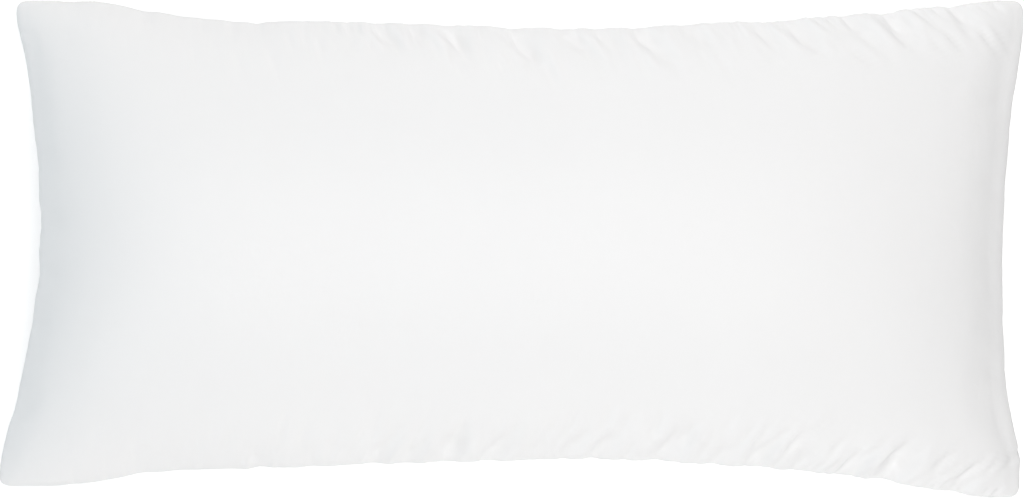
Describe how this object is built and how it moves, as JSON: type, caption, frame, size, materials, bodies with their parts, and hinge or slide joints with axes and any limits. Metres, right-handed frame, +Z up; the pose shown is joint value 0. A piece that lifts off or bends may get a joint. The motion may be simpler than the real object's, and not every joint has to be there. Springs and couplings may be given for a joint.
{
  "type": "cervical pillow",
  "caption": "Rectangular white neck pillow, filled and sewn shut with a knife edge, with a full crown, drawn-in sides and puckered seams, lying on its back.",
  "frame": {"origin": "the middle of the underside, at the centre of the bounding box's base, on the surface that the pillow lies on", "axes": "+X along the pillow's length, towards the right of its front face; +Y across it, towards the upper side of that face; +Z up from the surface, out of the front face"},
  "size_m": [0.7806, 0.3788, 0.1593],
  "materials": {
    "white_cotton": "fine plain-woven cotton, matt with a faint soft sheen"
  },
  "bodies": {
    "root": {"pillow": "white_cotton"}
  },
  "joints": []
}
